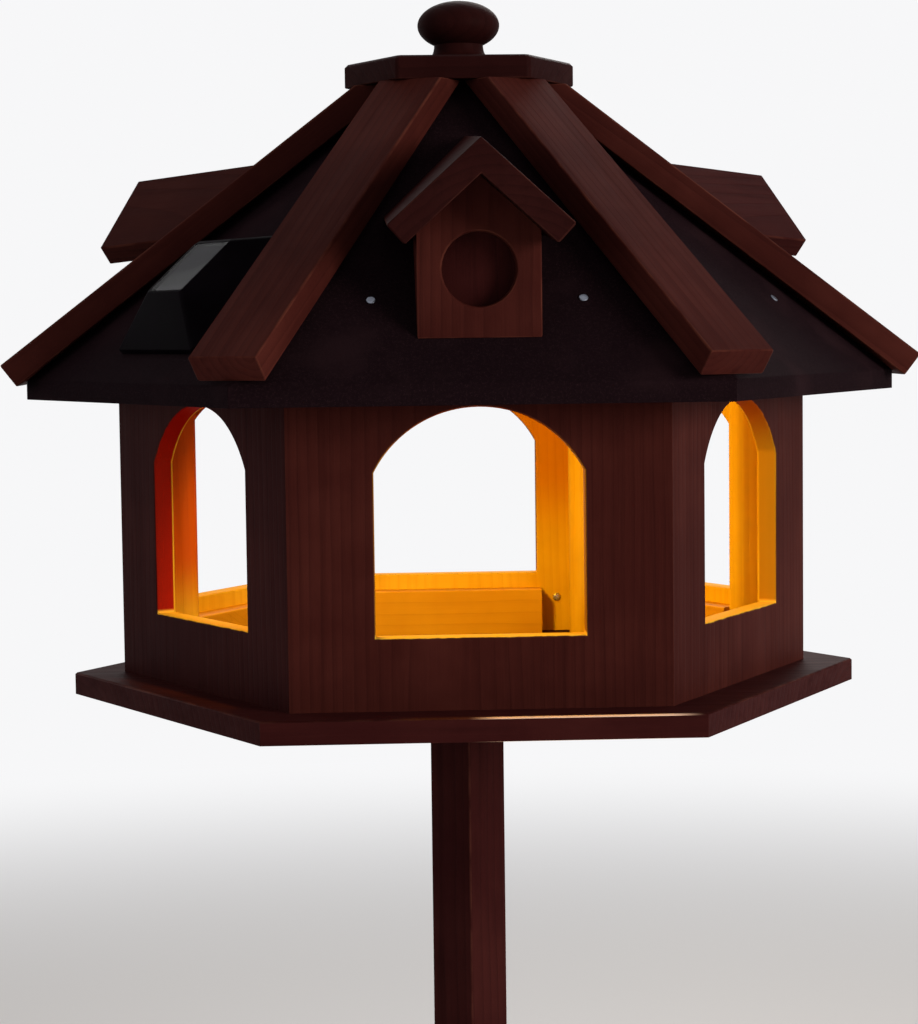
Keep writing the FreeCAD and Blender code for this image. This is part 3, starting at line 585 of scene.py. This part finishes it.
def dressHouse():
    seed = 1.0
    for side, azimuth in faceAzimuth.items():
        outward = onSide(azimuth, 1, 0, 0)
        level = onSide(azimuth, 0, 1, 0)
        slope = onSide(azimuth, math.sin(roofPitch), 0, math.cos(roofPitch))
        seed += 3.7
        jamb = jambColor.get(side, jambColor["front"])
        window = {"bare": wallDepth["inside"] + 0.0018, "face": wallDepth["outside"], "jamb": jamb,
                  "deep": tuple(0.7 * part for part in jamb[:3]) + (1,), "sill": wallDepth["sill"],
                  "arch": wallDepth["arch"], "paintedShade": paintedShadeColor.get(side, noTint)}
        # painted shade: the front-left wall takes the darker copy of the stain
        look = paintedShadeWood if side == "front_left" else stainedWood
        eave = {"outward": tuple(outward), "from": wallDepth["outside"] - 0.001}
        easeWood("wall_" + side, makeWood("stainedWall_" + side, look, upright, outward, seed, heart=-0.21,
                                          window=window))
        easeWood("roof_board_" + side, makeWood("bareBoard_" + side, amberLitBareWood, level, slope, seed + 1.3,
                                                heart=-0.9, eave=eave))
    easeWood("corner_posts", makeWood("barePosts", amberLitBareWood, upright, (1, 0, 0), 40.2, heart=0.4,
                                      paintedShade=paintedShadeLeftPost))
    easeWood("floor_cleats", makeWood("bareCleats", paintedShadeCleatWood, (1, 0, 0), upright, 42.6, heart=-0.9))
    # painted shade and painted light: the floor takes the darker copy of the stain and a bright stretch on
    # its front arris
    easeWood("floor_board", makeWood("stainedFloor", paintedShadeWood, (1, 0, 0), upright, 44.1, heart=-0.93,
                                     glint=floorGlint))


# painted light and shade: each dormer's roof takes a darker or lighter copy of the stain by the side it faces
dormerLook = {"front": paintedShadeDarkWood, "back_right": paintedShadeWood, "back_left": stainedWood}


def dressRoof():
    seed = 60.0
    for place, azimuth in hipAzimuth.items():
        down = onSide(azimuth, math.cos(hipPitch), 0, -math.sin(hipPitch))
        outward = onSide(azimuth, math.sin(hipPitch), 0, math.cos(hipPitch))
        seed += 2.9
        easeWood("hip_batten_" + place, makeWood("stainedBatten_" + place, stainedWood, down, outward,
                                                 seed, heart=-1.25))
    # painted shade: the cap takes the darkest copy of the stain, and the dormer backings the darker one
    easeWood("cap_plate", makeWood("stainedCap", paintedShadeDarkWood, (1, 0, 0), upright, 81.0, heart=-1.46))
    easeWood("dormer_backings", makeWood("stainedBackings", paintedShadeWood, upright, (0, -1, 0), 87.0,
                                         heart=-0.2))
    for side in ("front", "back_right", "back_left"):
        azimuth = faceAzimuth[side]
        outward = onSide(azimuth, 1, 0, 0)
        level = onSide(azimuth, 0, 1, 0)
        seed += 5.3
        prefix = "dormer_" + side
        easeWood(prefix + "_gable", makeWood("stainedGable_" + side, stainedWood, upright, outward, seed,
                                             heart=-0.25))
        easeWood(prefix + "_cheeks", makeWood("stainedCheeks_" + side, stainedWood, outward, level,
                                              seed + 2, heart=0.1))
        easeWood(prefix + "_roof", makeWood("stainedDormerRoof_" + side, dormerLook[side], outward,
                                            upright, seed + 3, heart=-1.3))


def dressStand():
    # painted shade: the post takes the darker copy of the stain
    easeWood("post", makeWood("stainedPost", paintedShadeWood, upright, onSide(45, 1, 0, 0), 101.0, heart=0.045))
    for name, azimuth in (("foot_upper", -45), ("foot_lower", 45)):
        easeWood(name, makeWood("stained_" + name, stainedWood, onSide(azimuth, 1, 0, 0), upright,
                                104.0 + azimuth, heart=0.05))
    seed = 110.0
    for place, azimuth in postAzimuth.items():
        seed += 3.1
        along = onSide(azimuth, 1, 0, -1)
        easeWood("brace_" + place, makeWood("stainedBrace_" + place, stainedWood, along,
                                            onSide(azimuth, 1, 0, 1), seed, heart=-0.2))


# round pieces, drawn out ring by ring on the Z axis and then leaned into their place

def turnedPiece(name, rings, sides):
    bpy.ops.object.select_all(action="DESELECT")
    radius, height = rings[0]
    bpy.ops.mesh.primitive_circle_add(vertices=sides, radius=radius, fill_type="NGON",
                                      location=(0, 0, height))
    piece = bpy.context.object
    piece.name = name
    bpy.ops.object.transform_apply(location=True, rotation=True, scale=True)
    bpy.ops.object.mode_set(mode="EDIT")
    bpy.ops.mesh.select_all(action="SELECT")
    for nextRadius, nextHeight in rings[1:]:
        bpy.ops.mesh.extrude_region_move(TRANSFORM_OT_translate={"value": (0, 0, nextHeight - height)})
        grow = nextRadius / radius
        bpy.ops.transform.resize(value=(grow, grow, 1), center_override=(0, 0, nextHeight))
        radius, height = nextRadius, nextHeight
    bpy.ops.mesh.select_all(action="SELECT")
    bpy.ops.mesh.normals_make_consistent(inside=False)
    bpy.ops.object.mode_set(mode="OBJECT")
    bpy.ops.object.shade_smooth_by_angle(angle=math.radians(38))
    return piece


def curve(fromAngle, toAngle, steps):
    return [math.radians(fromAngle + (toAngle - fromAngle) * step / steps) for step in range(steps + 1)]


finialLook = {"foot": 0.029, "bead": 0.006, "neck": 0.0212, "ball": 0.0355, "ballHeight": 0.042,
              "spigot": 0.009, "sides": 96}


def makeFinial(look):
    low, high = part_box("finial")
    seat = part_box("cap_plate")[1].z
    equator = high.z - look["ballHeight"] / 2
    neckAngle = math.degrees(math.acos(look["neck"] / look["ball"]))
    neckHeight = equator - look["ballHeight"] / 2 * math.sin(math.radians(neckAngle))
    bead = look["bead"]
    rings = [(look["spigot"], low.z), (look["spigot"], seat), (look["foot"] - bead / 2, seat)]
    rings += [(look["foot"] - bead / 2 + bead / 2 * math.cos(a), seat + bead / 2 + bead / 2 * math.sin(a))
              for a in curve(-80, 90, 8)]
    top = seat + bead
    reach = look["foot"] - bead / 2 - look["neck"]
    rings += [(look["foot"] - bead / 2 - reach * math.sin(a), neckHeight - (neckHeight - top) * math.cos(a))
              for a in curve(8, 90, 9)]
    rings += [(look["ball"] * math.cos(a), equator + look["ballHeight"] / 2 * math.sin(a))
              for a in curve(-neckAngle + 2, 88, 26)]
    piece = turnedPiece("turnedFinial", rings, look["sides"])
    # painted shade: the finial takes the darkest copy of the stain
    piece.data.materials.append(makeWood("stainedFinial", paintedShadeDarkWood, upright, (0, -1, 0), 84.0, heart=0.012))
    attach(piece, "table")
    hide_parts("finial")


dressHouse()
dressRoof()
dressStand()
makeFinial(finialLook)
print("wood finished")

# roofing felt

roofFelt = {"color": (0.0076, 0.0032, 0.0044, 1), "grit": (0.028, 0.013, 0.016, 1),
            "dust": (0.0150, 0.0066, 0.0082, 1), "roughness": 0.90, "specular": 0.02, "gritScale": 1500.0}


def makeFelt(name, look, seed):
    material, tree, shader = newMaterial(name, look["roughness"], look["specular"])
    spot = placedPattern(tree, shift=(seed, 0, 0))
    grit = addNode(tree, "ShaderNodeTexVoronoi", {"Vector": spot, "Scale": look["gritScale"]})
    clumps = addNode(tree, "ShaderNodeTexNoise", {"Vector": spot, "Scale": 14.0, "Detail": 6.0})
    fine = addNode(tree, "ShaderNodeTexNoise", {"Vector": spot, "Scale": 420.0, "Detail": 3.0})
    chips = rangeNode(tree, grit.outputs["Distance"], 0.20, 0.45, 1.0, 0.0)
    color = mixColors(tree, mathNode(tree, "MULTIPLY", chips, rangeNode(tree, fine.outputs[0], 0.42, 0.62)),
                      look["color"], look["grit"])
    color = mixColors(tree, rangeNode(tree, clumps.outputs[0], 0.48, 0.72), color, look["dust"])
    tree.links.new(color, shader.inputs["Base Color"])
    height = mathNode(tree, "ADD", mathNode(tree, "MULTIPLY", chips, 0.6), fine.outputs[0])
    bump = addNode(tree, "ShaderNodeBump", {"Height": height, "Strength": 0.6, "Distance": 0.0006})
    tree.links.new(bump.outputs[0], shader.inputs["Normal"])
    return material


for step, side in enumerate(faceAzimuth):
    easedPiece("roof_felt_" + side, arrisLook["felt"], makeFelt("roofFelt_" + side, roofFelt, 3.0 * step))

# plastic, glass and metal of the lamp and the fixings

plasticLook = {
    "blackPlastic": {"color": (0.0016, 0.0008, 0.0014, 1), "pale": (0.0034, 0.0020, 0.0032, 1),
                     "roughness": 0.46, "specular": 0.004},
    "buttonPlastic": {"color": (0.30, 0.012, 0.008, 1), "pale": (0.36, 0.03, 0.02, 1), "roughness": 0.5,
                      "specular": 0.4},
    "batterySleeve": {"color": (0.02, 0.11, 0.05, 1), "pale": (0.03, 0.15, 0.07, 1), "roughness": 0.28,
                      "specular": 0.4},
    "circuitGreen": {"color": (0.012, 0.10, 0.035, 1), "pale": (0.03, 0.16, 0.06, 1), "roughness": 0.34,
                     "specular": 0.4},
}
metalLook = {
    "galvanisedSteel": {"color": (0.20, 0.21, 0.25, 1), "dull": (0.12, 0.13, 0.16, 1), "roughness": 0.42,
                        "metallic": 1.0, "spangle": 260.0},
    "zincScrew": {"color": (0.66, 0.64, 0.56, 1), "dull": (0.48, 0.46, 0.40, 1), "roughness": 0.30,
                  "metallic": 0.8, "spangle": 700.0},
}


def makePlastic(name, look):
    material, tree, shader = newMaterial(name, look["roughness"], look["specular"])
    spot = placedPattern(tree)
    fine = addNode(tree, "ShaderNodeTexNoise", {"Vector": spot, "Scale": 900.0, "Detail": 2.0})
    broad = addNode(tree, "ShaderNodeTexNoise", {"Vector": spot, "Scale": 22.0, "Detail": 4.0})
    color = mixColors(tree, rangeNode(tree, broad.outputs[0], 0.40, 0.68), look["color"], look["pale"])
    tree.links.new(color, shader.inputs["Base Color"])
    rough = mathNode(tree, "ADD", mathNode(tree, "MULTIPLY", broad.outputs[0], 0.2),
                     look["roughness"] - 0.1)
    tree.links.new(rough, shader.inputs["Roughness"])
    bump = addNode(tree, "ShaderNodeBump", {"Height": fine.outputs[0], "Strength": 0.25,
                                            "Distance": 0.0002})
    tree.links.new(bump.outputs[0], shader.inputs["Normal"])
    return material


def makeMetal(name, look):
    material, tree, shader = newMaterial(name, look["roughness"], 0.5, look["metallic"])
    spot = placedPattern(tree)
    spangle = addNode(tree, "ShaderNodeTexVoronoi", {"Vector": spot, "Scale": look["spangle"]})
    broad = addNode(tree, "ShaderNodeTexNoise", {"Vector": spot, "Scale": 60.0, "Detail": 5.0})
    tone = addNode(tree, "ShaderNodeSeparateColor", {0: spangle.outputs["Color"]})
    mask = mathNode(tree, "MULTIPLY", tone.outputs[0], 0.6)
    color = mixColors(tree, mask, look["color"], look["dull"])
    color = mixColors(tree, rangeNode(tree, broad.outputs[0], 0.5, 0.75), color, look["dull"])
    tree.links.new(color, shader.inputs["Base Color"])
    rough = mathNode(tree, "ADD", mathNode(tree, "MULTIPLY", tone.outputs[0], 0.16),
                     look["roughness"] - 0.08)
    tree.links.new(rough, shader.inputs["Roughness"])
    bump = addNode(tree, "ShaderNodeBump", {"Height": broad.outputs[0], "Strength": 0.2,
                                            "Distance": 0.0003})
    tree.links.new(bump.outputs[0], shader.inputs["Normal"])
    return material


plastics = {name: makePlastic(name, look) for name, look in plasticLook.items()}
metals = {name: makeMetal(name, look) for name, look in metalLook.items()}
for name in ("lamp_cover", "lamp_base", "lamp_cup"):
    easedPiece(name, arrisLook["lamp"], plastics["blackPlastic"],
               roundAbout=("lamp_lens", "lamp_button"))
easedPiece("lamp_button", arrisLook["glass"], plastics["buttonPlastic"], "button",
           ("lamp_button",))
easedPiece("lamp_battery", arrisLook["lamp"], plastics["batterySleeve"])
easedPiece("circuit_board", arrisLook["glass"], plastics["circuitGreen"])
easedPiece("post_brackets", arrisLook["lamp"], metals["galvanisedSteel"])

# nails and screws: each kind is modelled once, its top at zero, and copied to the places of the CAD's pins

nailLook = {"shank": 0.0013, "head": 0.0038, "crown": 0.0027, "headHeight": 0.0011, "point": 0.004,
            "sides": 28}
woodScrewLook = {"shank": 0.0022, "head": 0.0042, "sink": 0.0024, "point": 0.0066, "slot": 0.0050,
                 "slotDepth": 0.0014, "sides": 32}
shortScrewLook = {"shank": 0.0019, "head": 0.0038, "headHeight": 0.0023, "rim": 0.0008, "point": 0.0057,
                  "slot": 0.0044, "slotDepth": 0.0013, "sides": 32}


def pinsOf(name):                    # each pin's point, the way it faces and its length
    cleanCopy(name, "pins")
    bpy.ops.object.mode_set(mode="EDIT")
    bpy.ops.mesh.select_all(action="SELECT")
    bpy.ops.mesh.separate(type="LOOSE")
    bpy.ops.object.mode_set(mode="OBJECT")
    pins = []
    for part in list(bpy.context.selected_objects):
        corners = [corner.co.copy() for corner in part.data.vertices]
        middle = sum(corners, Vector()) / len(corners)
        far = max((corner - middle).length for corner in corners)
        tip = [corner for corner in corners if (corner - middle).length > far - 0.0005]
        point = sum(tip, Vector()) / len(tip)
        facing = (middle - point).normalized()
        pins.append((point, facing, max((corner - point).dot(facing) for corner in corners)))
        bpy.data.objects.remove(part)
    return sorted(pins, key=lambda pin: [round(value, 4) for value in pin[0]])


def makeNail(look, length):
    neck = -look["headHeight"]
    rings = [(0.0003, -length), (look["shank"], look["point"] - length), (look["shank"], neck),
             (look["head"] - 0.0002, neck), (look["head"], neck + 0.0002), (look["head"], neck + 0.0005)]
    rings += [(look["crown"] + (look["head"] - look["crown"]) * math.cos(a),
               neck + 0.0005 - (neck + 0.0005) * math.sin(a))
              for a in curve(22, 90, 4)]
    rings += [(0.0010, -0.00003)]
    return turnedPiece("cloutNail", rings, look["sides"])


def cutCross(piece, look):           # the cross recess, two bars cut down into the head
    for wide, narrow in ((1.0, 0.24), (0.24, 1.0)):
        bpy.ops.object.select_all(action="DESELECT")
        bpy.ops.mesh.primitive_cube_add(size=1, location=(0, 0, 0))
        bar = bpy.context.object
        bar.scale = (look["slot"] * wide, look["slot"] * narrow, 2 * look["slotDepth"])
        bpy.ops.object.transform_apply(location=True, rotation=True, scale=True)
        piece.modifiers.new("recess", "BOOLEAN").object = bar
        bpy.context.view_layer.objects.active = piece
        bpy.ops.object.modifier_apply(modifier="recess")
        bpy.data.objects.remove(bar)


def makeWoodScrew(look, length):
    rings = [(0.0004, -length), (look["shank"], look["point"] - length), (look["shank"], -look["sink"]),
             (look["head"] - 0.0002, -0.0005), (look["head"], -0.0003), (look["head"] - 0.0002, 0)]
    screw = turnedPiece("woodScrew", rings, look["sides"])
    cutCross(screw, look)
    return screw


def makeShortScrew(look, length):
    seat = -look["headHeight"]
    rings = [(0.0004, -length), (look["shank"], look["point"] - length), (look["shank"], seat),
             (look["head"], seat)]
    rise = look["headHeight"] - look["rim"]
    rings += [(look["head"] * math.cos(a) ** 0.8,
               seat + look["rim"] + rise * math.sin(a)) for a in curve(0, 78, 7)]
    screw = turnedPiece("shortScrew", rings, look["sides"])
    cutCross(screw, look)
    return screw


def setPins(name, pins, pattern, material):
    copies = []
    for step, (point, facing, length) in enumerate(pins):
        copy = bpy.data.objects.new(name + "_set", pattern.data.copy())
        scene.collection.objects.link(copy)
        place = (Matrix.Translation(point + facing * length)
                 @ facing.to_track_quat("Z", "X").to_matrix().to_4x4())
        copy.matrix_world = place @ Matrix.Rotation(1.7 * step, 4, "Z")
        copies.append(copy)
    bpy.data.objects.remove(pattern)
    bpy.ops.object.select_all(action="DESELECT")
    for copy in copies:
        copy.select_set(True)
    piece = copies[0]
    bpy.context.view_layer.objects.active = piece
    bpy.ops.object.join()
    bpy.ops.object.transform_apply(location=True, rotation=True, scale=True)
    piece.data.materials.clear()
    piece.data.materials.append(material)
    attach(piece, "table")
    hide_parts(name)


nailPins = pinsOf("clout_nails")
setPins("clout_nails", nailPins, makeNail(nailLook, nailPins[0][2]), metals["galvanisedSteel"])
woodScrewPins = pinsOf("wood_screws")
setPins("wood_screws", woodScrewPins, makeWoodScrew(woodScrewLook, woodScrewPins[0][2]),
        metals["zincScrew"])
shortScrewPins = pinsOf("short_screws")
setPins("short_screws", shortScrewPins, makeShortScrew(shortScrewLook, shortScrewPins[0][2]),
        metals["zincScrew"])
print("fixings set:", len(nailPins), "nails,", len(woodScrewPins), "wood screws,", len(shortScrewPins),
      "short screws")

solarLook = {"color": (0.007, 0.0055, 0.009, 1), "line": (0.045, 0.036, 0.055, 1), "pitch": 0.0026,
             "lineWidth": 0.08}


def lampTurn():                      # lays a pattern flat on the lamp: X across the slope, Z out of the roof
    return boardTurn(onSide(faceAzimuth["front_left"], 0, 1, 0), lampFacing)


def makeSolar(look):
    material, tree, shader = newMaterial("solarCell", 0.4, 0.02)
    spot = placedPattern(tree, lampTurn())
    split = addNode(tree, "ShaderNodeSeparateXYZ", {0: spot})
    phase = mathNode(tree, "FRACT", mathNode(tree, "DIVIDE", split.outputs[0], look["pitch"]))
    finger = mathNode(tree, "LESS_THAN", phase, look["lineWidth"])
    color = mixColors(tree, mathNode(tree, "MULTIPLY", finger, 0.55), look["color"], look["line"])
    tree.links.new(color, shader.inputs["Base Color"])
    return material


def makeGlass():
    material, tree, shader = newMaterial("lampGlass", 0.06, 0.05)
    shader.inputs["Transmission Weight"].default_value = 1.0
    shader.inputs["IOR"].default_value = 1.06
    spot = placedPattern(tree)
    smear = addNode(tree, "ShaderNodeTexNoise", {"Vector": spot, "Scale": 40.0, "Detail": 4.0})
    rough = mathNode(tree, "ADD", mathNode(tree, "MULTIPLY", smear.outputs[0], 0.10), 0.02)
    tree.links.new(rough, shader.inputs["Roughness"])
    return material


def makeLens():
    material, tree, shader = newMaterial("lampLens", 0.4, 0.4)
    spot = placedPattern(tree)
    frost = addNode(tree, "ShaderNodeTexNoise", {"Vector": spot, "Scale": 500.0, "Detail": 3.0})
    color = mixColors(tree, frost.outputs[0], (1.0, 0.80, 0.50, 1), (1.0, 0.72, 0.38, 1))
    tree.links.new(color, shader.inputs["Base Color"])
    glow = mixColors(tree, frost.outputs[0], (1.0, 0.48, 0.09, 1), (1.0, 0.42, 0.06, 1))
    tree.links.new(glow, shader.inputs["Emission Color"])
    shader.inputs["Emission Strength"].default_value = 1.2
    bump = addNode(tree, "ShaderNodeBump", {"Height": frost.outputs[0], "Strength": 0.3,
                                            "Distance": 0.0002})
    tree.links.new(bump.outputs[0], shader.inputs["Normal"])
    return material


dress("solar_cell", makeSolar(solarLook))
easedPiece("lamp_glass", arrisLook["glass"], makeGlass())
easedPiece("lamp_lens", arrisLook["glass"], makeLens(),
           roundAbout=("lamp_lens", "lamp_button"))
print("felt, lamp and fixings finished")
